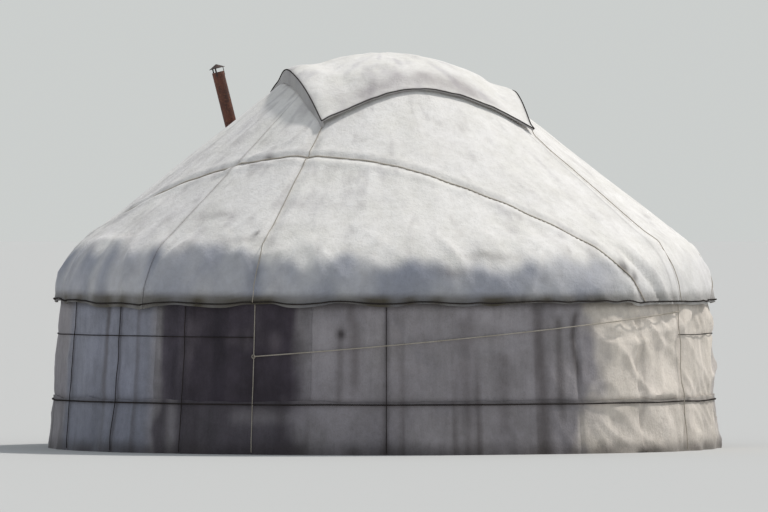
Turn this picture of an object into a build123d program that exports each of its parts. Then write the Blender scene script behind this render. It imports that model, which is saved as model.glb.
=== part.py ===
from build123d import *
import os
from math import asin, atan, atan2, cos, degrees, hypot, radians, sin, sqrt, tan

# A felt yurt on a lattice wall, in millimetres. The origin is on the ground at its axis and +Z is up.
# The front faces -Y and the doorway is at the back, towards +Y.
# An azimuth is counted from the front towards +X: 0 front, 90 right, 180 doorway, 270 left.

# Clearance of pieces that lie on each other, and gap between pieces side by side
seat = 0.3
side_gap = 0.6

# The felts hang in flat panels between the poles, and a panel's middle lies at the stated radius
panel_count = 36
shoulder_steps = 3
dome_steps = 3

# Wall felts
wall_outer_radius = 2900.0
wall_felt_thickness = 12.0
wall_flare = 78.0
skirt_height = 470.0
skirt_thickness = 12.0
patch_thickness = 4.0

# Lattice wall
wall_height = 1400.0
lattice_sections = 6
forks_per_section = 7
lattice_rows = 4
lath_width = 30.0
lath_thickness = 11.0
foot_height = 45.0
fork_height = 55.0
fork_drop = 10.0
section_gap = 4.0

# Roof
hem_height = 1330.0
eave_lean = 4.0
shoulder_radius = 700.0
roof_slope = 38.2
roof_felt_thickness = 15.0
roof_lap_radius = 860.0
pole_width = 30.0
pole_overlap = 100.0
door_poles = 3

# Crown
ring_radius = 870.0
ring_depth = 70.0
ring_height = 70.0
ring_bevel = 14.0
socket_depth = 36.0
spokes_each_way = 4
spoke_spacing = 130.0
spoke_width = 34.0
spoke_thickness = 14.0
spoke_lap = 3.0
spoke_steps = 6
crown_rise = 214.0
crown_felt_size = 1960.0
crown_felt_thickness = 24.0
crown_felt_turn = 16.5
crown_felt_shift = 100.0

# Doorway
door_width = 860.0
door_height = 1410.0
post_width = 70.0
frame_depth = 110.0
frame_bevel = 8.0
threshold_height = 60.0
lintel_height = 80.0
curtain_radius = 72.0
strap_sides = 16
strap_thickness = 3.5
strap_width = 30.0
strap_spacing = 560.0

# Seams between neighbouring felts and both ends of the dark patch, as azimuths
wall_seams = (0.4, 90.0, 270.0)
roof_seams = (60.0, 118.0, 314.0)
patch_ends = (316.6, 347.5)

# Ropes
rope_size = 14.0
thin_rope_size = 9.0
knot_size = 26.0
lower_rope_height = 440.0
upper_rope_height = 1030.0
upper_rope_ends = (62.0, 332.0)
upright_azimuths = (0.4, 100.0, 125.0, 215.0, 290.0, 307.0, 323.1)
pale_rope_ends = (335.1, 416.6)
pale_rope_height = 976.0
pale_rope_slant = 5.8
roof_rope_azimuths = (158.0, 338.0)
roof_rope_top_radius = 1731.0
roof_rope_lean = 35.3
rope_end_height = 12.0

# Stovepipe
pipe_radius = 55.0
pipe_wall = 3.0
pipe_distance = 1420.0
pipe_lean = 14.0
pipe_above_roof = 520.0
pipe_inside = 260.0
cap_radius = 76.0
cap_height = 42.0
cap_lift = 34.0
cap_leg_width = 14.0
cap_leg_thickness = 3.0
cap_sides = 12
collar_size = 260.0
collar_thickness = 4.0
hole_sides = 12

# Layers, from the roof's or the wall's outer face: inwards as a depth, outwards as an offset
pole_depth = roof_felt_thickness + seat + wall_felt_thickness + seat
ring_top_depth = roof_felt_thickness + seat
near_offset = seat + patch_thickness + seat
over_rope_offset = near_offset + thin_rope_size + seat
upright_offset = seat + skirt_thickness + seat
girth_offset = upright_offset + thin_rope_size + seat

# Centre of the round shoulder, and the turn from the hanging edge to the slope
roof_outer_radius = wall_outer_radius + seat + roof_felt_thickness
shoulder_x = roof_outer_radius - shoulder_radius * cos(radians(eave_lean))
shoulder_z = wall_height - shoulder_radius * sin(radians(eave_lean))
slope_turn = 90 - roof_slope
slope_cos = cos(radians(roof_slope))
slope_sin = sin(radians(roof_slope))
panel_angle = 360 / panel_count


def shoulder_point(turn, depth):
    """Point of the shoulder where the roof has turned in by an angle, at a depth below its outer face"""
    reach = shoulder_radius - depth
    return (shoulder_x + reach * cos(radians(turn)), 0, shoulder_z + reach * sin(radians(turn)))


def shoulder_radius_at(height, depth):
    """Radius of the shoulder at a height, at a depth below its outer face"""
    reach = shoulder_radius - depth
    return shoulder_x + sqrt(reach**2 - (height - shoulder_z) ** 2)


def eave_radius(height, depth):
    """Radius of the hanging edge at a height, at a depth below its outer face"""
    r, _, z = shoulder_point(eave_lean, depth)
    return r + (z - height) * tan(radians(eave_lean))


def roof_z(radius, depth):
    """Height of the straight slope at a radius, at a depth below its outer face"""
    r, _, z = shoulder_point(slope_turn, depth)
    return z + (r - radius) * slope_sin / slope_cos


def wall_radius(height, offset):
    """Radius of the flared wall felt's outer face at a height, moved out by an offset"""
    share = max(0.0, (hem_height - height) / hem_height)
    return wall_outer_radius + wall_flare * share + offset


# Height where the crown's dome leaves the roof, and height of the crown felt's top
crown_base = roof_z(roof_lap_radius, -seat)
crown_top = crown_base + crown_rise + crown_felt_thickness

# Door frame, its outer face level with the top of the wall felt
frame_width = door_width + 2 * post_width
frame_middle_y = wall_outer_radius - frame_depth / 2
lintel_bottom = threshold_height + door_height
lintel_top = lintel_bottom + lintel_height

# Lattice, its forks just inside the feet of the poles
lattice_height = wall_height - fork_drop
fork_turn = radians(360 / (lattice_sections * forks_per_section) / 4)
pole_inner_radius = shoulder_point(eave_lean, pole_depth + pole_width)[0]
lattice_outer = pole_inner_radius - seat - pole_width / 2 * tan(fork_turn)
lattice_middle = lattice_outer - lath_thickness
lattice_inner = lattice_middle - lath_thickness

# The doorway takes this much of the ring of lattice, and this much of the ring of felt, to each side
frame_half = frame_width / 2 + side_gap
lattice_door_half = degrees(asin(frame_half / lattice_inner))
felt_door_half = degrees(asin(frame_half / shoulder_radius_at(lintel_top, roof_felt_thickness)))
section_angle = (360 - 2 * lattice_door_half) / lattice_sections
fork_pitch = section_angle / forks_per_section
first_lattice = 180 + lattice_door_half
first_felt = 180 + felt_door_half
last_felt = 540 - felt_door_half
pipe_azimuth = first_lattice + section_angle + fork_pitch


def turned(shape, azimuth):
    """A shape drawn over +X, turned about the yurt's axis to an azimuth"""
    return Rot(0, 0, azimuth - 90) * shape


def sector(start, end):
    """Wedge of space about the yurt's axis between two azimuths"""
    steps = int((end - start) / 45) + 1
    reach = 2 * roof_outer_radius
    angles = [radians(start + (end - start) * i / steps) for i in range(steps + 1)]
    rim = [(reach * sin(a), -reach * cos(a)) for a in angles]
    return extrude(make_face(Polyline((0, 0), *rim, close=True)), crown_top + reach)


def panel(face):
    """One flat panel of a layer, drawn over +X, from its upright section"""
    width = roof_outer_radius * radians(panel_angle)
    return extrude(face, width, both=True) & sector(90 - panel_angle / 2, 90 + panel_angle / 2)


def around(face, start, end):
    """Layer of flat panels round the yurt, from one azimuth to another"""
    numbers = range(round(start / panel_angle), round(end / panel_angle) + 1)
    panels = [turned(panel(face), number * panel_angle) for number in numbers]
    return panels[0].fuse(*panels[1:]) & sector(start, end)


def all_round(face):
    """Closed ring of flat panels"""
    panels = [turned(panel(face), number * panel_angle) for number in range(panel_count)]
    return panels[0].fuse(*panels[1:])


def felt_around(face, start, end):
    """Felt from seam to seam, short of both by half of the gap between neighbours"""
    trim = degrees(side_gap / 2 / roof_lap_radius)
    return around(face, start + trim, end - trim)


def strip(face, azimuth, width):
    """Narrow upright strip of a layer at an azimuth"""
    reach = 2 * roof_outer_radius
    slab = Box(reach, width, reach, align=(Align.MIN, Align.CENTER, Align.MIN))
    return around(face, azimuth - panel_angle / 2, azimuth + panel_angle / 2) & turned(slab, azimuth)


def export(name, *pieces):
    """Write separate solids as one named node"""
    solids = [solid for piece in pieces for solid in piece.solids()]
    node = Compound(children=solids) if len(solids) > 1 else solids[0]
    export_step(node, f"parts/{name}.step")


def roof_line(depth, low, top_radius):
    """Points down the roof at a depth: slope, round shoulder in short steps, hanging edge"""
    turn = (slope_turn - eave_lean) / shoulder_steps
    shoulder = [shoulder_point(slope_turn - i * turn, depth) for i in range(shoulder_steps + 1)]
    return [(top_radius, 0, roof_z(top_radius, depth)), *shoulder, (eave_radius(low, depth), 0, low)]


def roof_layer(outer_depth, inner_depth, low, top_radius):
    """Section through a layer of the roof"""
    inside = reversed(roof_line(inner_depth, low, top_radius))
    return make_face(Polyline(*roof_line(outer_depth, low, top_radius), *inside, close=True))


def wall_layer(inner_offset, outer_offset, low, high):
    """Section through a layer that follows the flared wall felt, between two offsets from its outer face"""
    heights = sorted({low, min(high, hem_height), high})
    outside = [(wall_radius(z, outer_offset), 0, z) for z in heights]
    inside = [(wall_radius(z, inner_offset), 0, z) for z in reversed(heights)]
    return make_face(Polyline(*outside, *inside, close=True))


def slope_plane(station, depth):
    """Plane across the slope under a station of its outer face: X runs up the slope, Y square to the roof"""
    return Plane(
        origin=(station - depth * slope_sin, 0, roof_z(station, 0) - depth * slope_cos),
        x_dir=(-slope_cos, 0, slope_sin),
        z_dir=(0, -1, 0),
    )


def lattice_point(radius, azimuth):
    """Point of a wall section, which is flat between bends, with one bend to each fork"""
    place = azimuth / fork_pitch - 0.75
    off_middle = radians((place - round(place)) * fork_pitch)
    reach = radius * cos(radians(fork_pitch / 4)) / cos(off_middle)
    return (reach * cos(radians(azimuth)), reach * sin(radians(azimuth)))


def lattice_layer(inner, outer):
    """One lath layer of a wall section before it is cut into laths"""
    bends = [(i + 0.25) * fork_pitch for i in range(forks_per_section)]
    trim = degrees(section_gap / 2 / inner)
    azimuths = [trim, *bends, section_angle - trim]
    outside = [lattice_point(outer, azimuth) for azimuth in azimuths]
    inside = [lattice_point(inner, azimuth) for azimuth in reversed(azimuths)]
    return extrude(make_face(Polyline(*outside, *inside, close=True)), lattice_height)


def laths(layer, lean):
    """Laths of one layer, all leaning one way, cut out of that layer by slanted slabs"""
    row_height = (lattice_height - foot_height - fork_height) / lattice_rows
    tilt = degrees(atan(lattice_middle * radians(fork_pitch / 2) / row_height))
    middle_height = (lattice_height + foot_height - fork_height) / 2
    slab = Box(8 * lath_thickness, lath_width, 2 * lattice_height)
    slanted = Pos(lattice_middle, 0, middle_height) * Rot(-lean * tilt, 0, 0) * slab
    pieces = []
    for i in range(forks_per_section + lattice_rows // 2):
        fork = i if lean < 0 else forks_per_section - 1 - i
        azimuth = (fork + 0.5 + lean * lattice_rows / 4) * fork_pitch
        pieces.append(layer & (Rot(0, 0, azimuth) * slanted))
    return pieces


def lattice_wall():
    """One wall section: laths leaning both ways, fastened where they cross"""
    inner = laths(lattice_layer(lattice_inner, lattice_middle), 1)
    outer = laths(lattice_layer(lattice_middle, lattice_outer), -1)
    return inner[0].fuse(*inner[1:], *outer)


def roof_pole():
    """Square pole: its foot lies on a fork of the lattice, it bends in two steps, its tip enters the ring"""
    middle = pole_depth + pole_width / 2
    bends = [shoulder_point(turn, middle) for turn in (eave_lean, (eave_lean + slope_turn) / 2, slope_turn)]
    foot = (bends[0][0], 0, wall_height - pole_overlap)
    tip = slope_plane(ring_radius, middle) * Pos(socket_depth - ring_depth / 2, 0, 0)
    section = Pos(*foot) * Rectangle(pole_width, pole_width)
    return sweep(section, Polyline(foot, *bends, tip.position), transition=Transition.RIGHT)


def pole_socket():
    """Square socket for a pole's tip in the crown ring"""
    size = pole_width + 2 * seat
    mouth = slope_plane(ring_radius, pole_depth + pole_width / 2)
    shift = socket_depth + seat - ring_depth / 2 - pole_width
    return mouth * Pos(shift, 0, 0) * Box(2 * pole_width, size, size)


def wall_pole_azimuths(section):
    """Azimuths of the poles that stand at the forks of one wall section"""
    start = first_lattice + section * section_angle
    return [start + (i + 0.5) * fork_pitch for i in range(forks_per_section)]


def door_pole_azimuths():
    """Azimuths of the poles that stand on the lintel"""
    pitch = 2 * lattice_door_half / door_poles
    return [180 - lattice_door_half + (i + 0.5) * pitch for i in range(door_poles)]


def above_lintel():
    """Space above the lintel, with the seat on it"""
    reach = 3 * roof_outer_radius
    return Pos(0, 0, lintel_top + seat + reach / 2) * Box(reach, reach, reach)


def dome():
    """Middle height, radius and half angle of the round inner face of the crown felt"""
    radius = (roof_lap_radius**2 + crown_rise**2) / (2 * crown_rise)
    return (crown_base + crown_rise - radius, radius, asin(roof_lap_radius / radius))


def spoke(offset, back_radius, clearance):
    """Arched bar across the crown at a sideways offset, its back on a dome of the given radius"""
    middle_z, _, _ = dome()
    edge = abs(offset) + spoke_width / 2
    end_radius = ring_radius - (ring_top_depth + ring_height / 2) * slope_sin + ring_depth / 4
    back = sqrt(back_radius**2 - edge**2)
    half_angle = asin((sqrt(end_radius**2 - edge**2) + clearance) / back)
    angles = [half_angle * (2 * i / spoke_steps - 1) for i in range(spoke_steps + 1)]
    outer = back + clearance
    inner = back - spoke_thickness - clearance
    outside = [(outer * sin(a), 0, middle_z + outer * cos(a)) for a in angles]
    inside = [(inner * sin(a), 0, middle_z + inner * cos(a)) for a in reversed(angles)]
    profile = make_face(Polyline(*outside, *inside, close=True))
    return Pos(0, offset, 0) * extrude(profile, spoke_width / 2 + clearance, both=True)


def crown_spokes(clearance):
    """Two crossed sets of arched bars, let into each other where they cross"""
    _, dome_radius, half_angle = dome()
    back = dome_radius * cos(half_angle / dome_steps / 2) - seat
    offsets = [(i - (spokes_each_way - 1) / 2) * spoke_spacing for i in range(spokes_each_way)]
    upper = [spoke(offset, back, clearance) for offset in offsets]
    lower = [Rot(0, 0, 90) * spoke(offset, back - spoke_thickness + spoke_lap, clearance) for offset in offsets]
    return upper[0].fuse(*upper[1:], *lower)


def ring_section():
    """Upright section of the crown ring, bevelled on its two lower edges"""
    section = Rectangle(ring_depth, ring_height)
    section = chamfer(section.vertices().group_by(Axis.Y)[0], ring_bevel)
    return slope_plane(ring_radius, ring_top_depth + ring_height / 2) * section


def crown_ring():
    """Crown ring with a socket for each pole and notches for the spoke ends"""
    azimuths = door_pole_azimuths()
    for number in range(lattice_sections):
        azimuths += wall_pole_azimuths(number)
    socket = pole_socket()
    return all_round(ring_section()).cut(*[turned(socket, a) for a in azimuths], crown_spokes(seat))


def crown_line(grow):
    """Points of the crown felt's inner face from its top down, or of its outer face when it is grown"""
    middle_z, radius, half_angle = dome()
    radius += grow
    lift = -seat - grow
    angles = [half_angle * i / dome_steps for i in range(dome_steps)]
    leave = radius * sin(half_angle)
    far = roof_lap_radius + crown_felt_size
    slope = [(leave, 0, roof_z(leave, lift)), (far, 0, roof_z(far, lift))]
    return [(radius * sin(a), 0, middle_z + radius * cos(a)) for a in angles] + slope


def crown_felt():
    """Square felt over the crown's dome, its four corners hanging down the roof"""
    section = make_face(Polyline(*crown_line(0), *reversed(crown_line(crown_felt_thickness)), close=True))
    place = Pos(crown_felt_shift, 0, crown_top) * Rot(0, 0, crown_felt_turn)
    return all_round(section) & (place * Box(crown_felt_size, crown_felt_size, 2 * crown_top))


def crown_corners():
    """Azimuth and radius of each corner of the crown felt"""
    reach = crown_felt_size / sqrt(2)
    corners = []
    for quarter in range(4):
        angle = radians(crown_felt_turn + 45 + 90 * quarter)
        x = crown_felt_shift + reach * cos(angle)
        y = reach * sin(angle)
        corners.append((degrees(atan2(x, -y)), hypot(x, y)))
    return corners


def door_post(side):
    """Upright of the door frame, from the ground to the lintel"""
    post = Box(post_width, frame_depth, lintel_bottom)
    post = chamfer(post.edges().filter_by(Axis.Z).group_by(Axis.Y)[-1], frame_bevel)
    return Pos(side * (door_width + post_width) / 2, frame_middle_y, lintel_bottom / 2) * post


def door_lintel():
    """Head of the door frame, which also carries the poles over the doorway"""
    head = Box(frame_width, frame_depth, lintel_height)
    head = chamfer(head.edges().filter_by(Axis.X).group_by(Axis.Y)[-1].sort_by(Axis.Z)[0], frame_bevel)
    return Pos(0, frame_middle_y, lintel_bottom + lintel_height / 2) * head


def door_threshold():
    """Sill between the posts, bevelled on top"""
    sill = Box(door_width, frame_depth, threshold_height)
    sill = chamfer(sill.edges().filter_by(Axis.X).group_by(Axis.Z)[-1], frame_bevel)
    return Pos(0, frame_middle_y, threshold_height / 2) * sill


def curtain_place(x):
    """Middle of the rolled curtain, its length along X, in front of the lintel"""
    y = wall_outer_radius + curtain_radius + strap_thickness + 2 * seat
    return Pos(x, y, lintel_top) * Rot(0, 90, 0)


def curtain_strap(x):
    """Strap round the rolled curtain, with its tab on the face of the lintel"""
    place = curtain_place(x) * Rot(0, 0, 180 / strap_sides)
    inner = RegularPolygon(curtain_radius + seat, strap_sides, major_radius=False)
    outer = RegularPolygon(curtain_radius + seat + strap_thickness, strap_sides, major_radius=False)
    loop = place * extrude(outer - inner, strap_width / 2, both=True)
    hollow = place * extrude(inner, strap_width, both=True)
    tab_y = wall_outer_radius + seat + strap_thickness / 2
    tab = Pos(x, tab_y, lintel_bottom + lintel_height / 2) * Box(strap_width, strap_thickness, lintel_height)
    return loop + (tab - hollow)


def upright_rope(azimuth):
    """Rope from the hem down the wall to the ground, bent out where it passes over the skirt"""
    size = thin_rope_size
    bend = skirt_height + size
    stations = [
        (hem_height - seat, near_offset),
        (bend + 2 * skirt_thickness, near_offset),
        (bend, upright_offset),
        (rope_end_height, upright_offset),
    ]
    inside = [(wall_radius(z, offset), 0, z) for z, offset in stations]
    outside = [(wall_radius(z, offset + size), 0, z) for z, offset in reversed(stations)]
    return strip(make_face(Polyline(*inside, *outside, close=True)), azimuth, size)


def hem_rope():
    """Rope on the hanging edge of the roof felts, from one side of the doorway to the other"""
    middle = eave_radius(hem_height, -seat) + rope_size / 2
    section = Plane.XZ * Pos(middle, hem_height + rope_size / 2) * Rectangle(rope_size, rope_size)
    return around(section, first_felt, last_felt)


def wall_rope(height, offset, size, start, end):
    """Rope that runs level round the wall"""
    return around(wall_layer(offset, offset + size, height - size / 2, height + size / 2), start, end)


def rope_top():
    """Height just above the rope that lies along the hem"""
    return hem_height + rope_size + side_gap


def roof_rope(azimuth):
    """Rope pulled slanting over the roof from hem to hem, highest at its azimuth"""
    inner = -seat - thin_rope_size - seat
    section = roof_layer(inner - rope_size, inner, rope_top(), ring_radius)
    reach = 2 * roof_outer_radius
    top = Pos(roof_rope_top_radius, 0, roof_z(roof_rope_top_radius, inner))
    slab = top * Rot(0, roof_rope_lean, 0) * Box(rope_size, reach, reach)
    return around(section, azimuth - 90, azimuth + 90) & turned(slab, azimuth)


def corner_rope(azimuth, corner_radius):
    """Rope from a corner of the crown felt down the roof to the hem"""
    section = roof_layer(-seat - thin_rope_size, -seat, rope_top(), corner_radius + side_gap)
    return strip(section, azimuth, thin_rope_size)


def pale_rope():
    """Slanted rope across the front of the wall, with a knot at its low end"""
    inner = over_rope_offset
    start, end = pale_rope_ends
    layer = around(wall_layer(inner, inner + thin_rope_size, skirt_height, hem_height), start, end)
    reach = 3 * wall_outer_radius
    slab = Pos(0, 0, pale_rope_height) * Rot(0, -pale_rope_slant, 0) * Box(reach, reach, thin_rope_size)
    knot_z = pale_rope_height + wall_outer_radius * sin(radians(start)) * tan(radians(pale_rope_slant))
    knot_radius = (wall_radius(knot_z, inner) + knot_size / 2) / cos(radians(panel_angle / 2))
    knot = turned(Pos(knot_radius, 0, knot_z) * Box(knot_size, knot_size, knot_size), start)
    return (layer & slab) + knot


def pipe_place():
    """Where the stovepipe comes through the roof, with Z along the leaning pipe"""
    angle = radians(pipe_azimuth)
    foot = Pos(pipe_distance * sin(angle), -pipe_distance * cos(angle), roof_z(pipe_distance, 0))
    return foot * Rot(0, -pipe_lean, 0)


def stovepipe():
    """Open sheet steel pipe through the roof"""
    length = pipe_above_roof + pipe_inside
    pipe = Cylinder(pipe_radius, length) - Cylinder(pipe_radius - pipe_wall, length)
    return pipe_place() * Pos(0, 0, length / 2 - pipe_inside) * pipe


def pipe_cap():
    """Shallow sheet cone over the pipe, on three legs that clasp it"""
    spread = degrees(atan(cap_radius / cap_height))
    cone = extrude(RegularPolygon(cap_radius, cap_sides), cap_height - pipe_wall, taper=spread)
    leg_radius = pipe_radius + seat + cap_leg_thickness / 2
    leg_top = cap_lift + cap_height * (cap_radius - leg_radius) / cap_radius - 2 * pipe_wall
    leg = Pos(leg_radius, 0, 0) * Box(cap_leg_thickness, cap_leg_width, 2 * leg_top)
    cap = Pos(0, 0, cap_lift) * (cone - Pos(0, 0, -2 * pipe_wall) * cone)
    legs = [Rot(0, 0, turn) * leg for turn in (15, 135, 255)]
    return pipe_place() * Pos(0, 0, pipe_above_roof) * cap.fuse(*legs)


def roof_hole():
    """Column along the pipe that opens the roof felt and the collar for it"""
    hole = RegularPolygon(pipe_radius + seat, hole_sides, major_radius=False)
    return pipe_place() * extrude(hole, pipe_inside, both=True)


def pipe_collar():
    """Steel plate on the roof felt round the pipe, bent to the felt"""
    sheet = roof_layer(-seat - collar_thickness, -seat, wall_height, roof_lap_radius)
    layer = around(sheet, pipe_azimuth - panel_angle, pipe_azimuth + panel_angle)
    column = slope_plane(pipe_distance, 0) * Box(collar_size, collar_size, collar_size)
    return (layer & turned(column, pipe_azimuth)) - roof_hole()


os.makedirs("parts", exist_ok=True)

# Wooden frame
wall = lattice_wall()
pole = roof_pole()
for section in range(lattice_sections):
    export(f"lattice_wall_{section + 1}", turned(wall, first_lattice + section * section_angle))
    export(f"roof_poles_{section + 1}", *[turned(pole, a) for a in wall_pole_azimuths(section)])
export("roof_poles_door", *[turned(pole, a) & above_lintel() for a in door_pole_azimuths()])
export("crown_ring", crown_ring())
export("crown_spokes", crown_spokes(0))

# Doorway
export("door_post_left", door_post(-1))
export("door_post_right", door_post(1))
export("door_lintel", door_lintel())
export("door_threshold", door_threshold())
export("door_curtain", curtain_place(0) * Cylinder(curtain_radius, door_width))
export("curtain_straps", curtain_strap(-strap_spacing / 2), curtain_strap(strap_spacing / 2))

# Wall felts and skirt felts, from the doorway round the left, front and right back to the doorway
wall_bounds = (first_felt, wall_seams[2], 360 + wall_seams[0], 360 + wall_seams[1], last_felt)
sides = ("back_left", "front_left", "front_right", "back_right")
for side, start, end in zip(sides, wall_bounds[:-1], wall_bounds[1:]):
    export(f"wall_felt_{side}", felt_around(wall_layer(-wall_felt_thickness, 0, 0, wall_height), start, end))
    skirt = wall_layer(seat, seat + skirt_thickness, 0, skirt_height)
    export(f"skirt_felt_{side}", felt_around(skirt, start, end))
patch = wall_layer(seat, seat + patch_thickness, skirt_height + side_gap, hem_height - side_gap)
export("wall_patch", around(patch, *patch_ends))

# Roof felts and crown felt
roof_cloth = roof_layer(0, roof_felt_thickness, hem_height, roof_lap_radius)
export("roof_felt_left", felt_around(roof_cloth, first_felt, roof_seams[2]) - roof_hole())
export("roof_felt_front", felt_around(roof_cloth, roof_seams[2], 360 + roof_seams[0]))
export("roof_felt_right", felt_around(roof_cloth, roof_seams[0], roof_seams[1]))
export("roof_felt_back", felt_around(roof_cloth, roof_seams[1], last_felt - 360))
export("roof_felt_door", felt_around(roof_cloth, last_felt - 360, first_felt) & above_lintel())
export("crown_felt", crown_felt())

# Ropes
export("hem_rope", hem_rope())
export("lower_wall_rope", wall_rope(lower_rope_height, girth_offset, rope_size, first_felt, last_felt))
upper_spans = ((first_felt, upper_rope_ends[1]), (upper_rope_ends[0], last_felt - 360))
upper_ropes = [wall_rope(upper_rope_height, over_rope_offset, thin_rope_size, *span) for span in upper_spans]
export("upper_wall_ropes", *upper_ropes)
export("upright_ropes", *[upright_rope(a) for a in upright_azimuths])
export("corner_ropes_wall", *[upright_rope(a) for a, _ in crown_corners()])
export("corner_ropes_roof", *[corner_rope(a, r) for a, r in crown_corners()])
export("roof_ropes", *[roof_rope(a) for a in roof_rope_azimuths])
export("pale_rope", pale_rope())

# Stovepipe
export("stovepipe", stovepipe())
export("pipe_cap", pipe_cap())
export("pipe_collar", pipe_collar())
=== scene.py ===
from math import atan2, cos, degrees, hypot, pi, radians, sin, tan

import bpy
import numpy as np
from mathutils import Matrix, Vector


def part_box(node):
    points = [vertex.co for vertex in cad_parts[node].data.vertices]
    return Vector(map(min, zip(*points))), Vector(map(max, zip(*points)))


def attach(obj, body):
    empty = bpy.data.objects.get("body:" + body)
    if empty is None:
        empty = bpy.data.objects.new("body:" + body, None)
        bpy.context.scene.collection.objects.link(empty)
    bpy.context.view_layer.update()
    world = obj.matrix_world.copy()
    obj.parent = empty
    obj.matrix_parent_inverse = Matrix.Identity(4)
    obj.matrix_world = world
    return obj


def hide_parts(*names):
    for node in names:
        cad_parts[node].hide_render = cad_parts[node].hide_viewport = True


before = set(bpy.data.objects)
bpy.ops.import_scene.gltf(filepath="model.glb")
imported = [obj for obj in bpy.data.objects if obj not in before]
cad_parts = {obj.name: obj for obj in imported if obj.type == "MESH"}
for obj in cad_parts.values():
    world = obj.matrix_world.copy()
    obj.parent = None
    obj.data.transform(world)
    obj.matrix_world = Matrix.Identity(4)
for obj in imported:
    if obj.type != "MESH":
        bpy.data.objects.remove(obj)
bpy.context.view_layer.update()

# A felt yurt, in metres. Azimuths in degrees are counted from the front (-Y) towards +X, as in the CAD.
WALL_R = 2.9
FLARE = 0.078
HEM_Z = 1.33
WALL_TOP = 1.4
WALL_THICK = 0.012
SKIRT_TOP = 0.47
SKIRT_OFFSET = 0.0125
PATCH_OFFSET = 0.0055
PATCH_THICK = 0.005

# Outline of the roof: slope, shoulder, hem
ROOF_THICK = 0.015
ROOF_R = WALL_R + ROOF_THICK + 0.0003
SLOPE = radians(38.2)
LEAN = radians(4)
SHOULDER = 0.7
TURN = pi / 2 - SLOPE
CENTRE_R = ROOF_R - SHOULDER * cos(LEAN)
CENTRE_Z = WALL_TOP - SHOULDER * sin(LEAN)
LAP_R = 0.86
SLOPE_LENGTH = (CENTRE_R + SHOULDER * cos(TURN) - LAP_R) / cos(SLOPE)
SHOULDER_LENGTH = SHOULDER * (TURN - LEAN)
ROOF_LENGTH = SLOPE_LENGTH + SHOULDER_LENGTH + (WALL_TOP - HEM_Z) / cos(LEAN)

CROWN_HALF = 0.98
CROWN_TURN = radians(16.5)
CROWN_SHIFT = 0.1
CROWN_TOP = 3.548
CROWN_THICK = 0.018
CROWN_FOLD = 0.13
CORNER_OUT = 0.07
CORNER_IN = 0.015

# Half the doorway in degrees, then the wooden frame
DOOR_FELT = 10.036
DOOR_LATTICE = 10.1704
SECTIONS = 6
FORKS = 7
ROWS = 4
PITCH = (360 - 2 * DOOR_LATTICE) / SECTIONS / FORKS
LATTICE_R = 2.846
LATTICE_TOP = 1.39
FOOT_HEIGHT = 0.045
FORK_HEIGHT = 0.055
LATH = (0.027, 0.0112)
LATH_LAYER = 0.0057
SECTION_EDGE = 0.34
POLE = 0.03
POLE_DEPTH = 0.0276 + POLE / 2
POLE_FOOT = 1.3

# Seams of the felts, and ropes
FELT_SPAN = (180 + DOOR_FELT, 540 - DOOR_FELT)
WALL_SEAMS = (FELT_SPAN[0], 270, 360.4, 450, FELT_SPAN[1])
ROOF_SEAMS = (60, 118, 314)
PATCH = (316.6, 347.5)
ROOF_ROPE_AZIMUTHS = (158, 338)
ROOF_ROPE_R = 1.731
ROOF_ROPE_LEAN = radians(35.3)
ROOF_ROPE_DOWN = (ROOF_ROPE_R - LAP_R) / cos(SLOPE)
LOWER_ROPE_Z = 0.44
UPPER_ROPE_Z = 1.03
PALE_ROPE_Z = 0.976
PALE_ROPE_LEAN = radians(5.8)
UPRIGHTS = (0.4, 100, 125, 215, 290, 307, 323.1)
ROPE = 0.014
LINE_ROPE = 0.012
THIN_ROPE = 0.009


# Plain helpers

def smooth(x, low, high):
    """0 below low, 1 above high, and a smooth step between; low may be above high"""
    s = np.clip((x - low) / (high - low), 0, 1)
    return s * s * (3 - 2 * s)


def crown_place(p, q):
    """Where a point of the flat crown felt lies in plan; the front left corner is pulled out"""
    p = p * (1 - CORNER_IN * smooth(-p, 0, CROWN_HALF) * smooth(q, -CROWN_HALF, 0.3))
    q = q * (1 + CORNER_OUT * smooth(-p, 0, CROWN_HALF) * smooth(-q, 0, CROWN_HALF))
    x = CROWN_SHIFT + p * cos(CROWN_TURN) - q * sin(CROWN_TURN)
    return x, p * sin(CROWN_TURN) + q * cos(CROWN_TURN)


CORNERS = []
for across, along in ((1, 1), (-1, 1), (-1, -1), (1, -1)):
    corner_x, corner_y = crown_place(across * CROWN_HALF, along * CROWN_HALF)
    CORNERS.append((degrees(atan2(corner_x, -corner_y)), hypot(corner_x, corner_y)))
LEFT_CORNER, RIGHT_CORNER = 360 + CORNERS[2][0], 360 + CORNERS[3][0]


def bell(x, width):
    """1 at zero, falling off over a width"""
    return np.exp(-((x / width) ** 2))


def near(a, azimuth):
    """Signed difference of azimuths in degrees, from -180 to 180"""
    return (a - azimuth + 180) % 360 - 180


def noise(a, t, around, along, seed):
    """Smooth noise from -1 to 1 that closes round the yurt; along is cells per metre"""
    rows = 64
    table = np.random.default_rng(seed).uniform(-1, 1, (around, rows))
    u = (a / 360 * around) % around
    v = (t * along) % rows
    i, j = u.astype(int) % around, v.astype(int) % rows
    fu, fv = u - np.floor(u), v - np.floor(v)
    fu, fv = fu * fu * (3 - 2 * fu), fv * fv * (3 - 2 * fv)
    i2, j2 = (i + 1) % around, (j + 1) % rows
    low = table[i, j] * (1 - fu) + table[i2, j] * fu
    high = table[i, j2] * (1 - fu) + table[i2, j2] * fu
    return low * (1 - fv) + high * fv


def linear(*rgb):
    """A colour picked as 0 to 255 on screen, as linear numbers"""
    c = np.array(rgb) / 255
    return np.where(c <= 0.04045, c / 12.92, ((c + 0.055) / 1.055) ** 2.4)


def mix(colour, other, share):
    """Colours mixed point by point"""
    s = np.asarray(share)[..., None]
    return colour * (1 - s) + other * s


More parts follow.
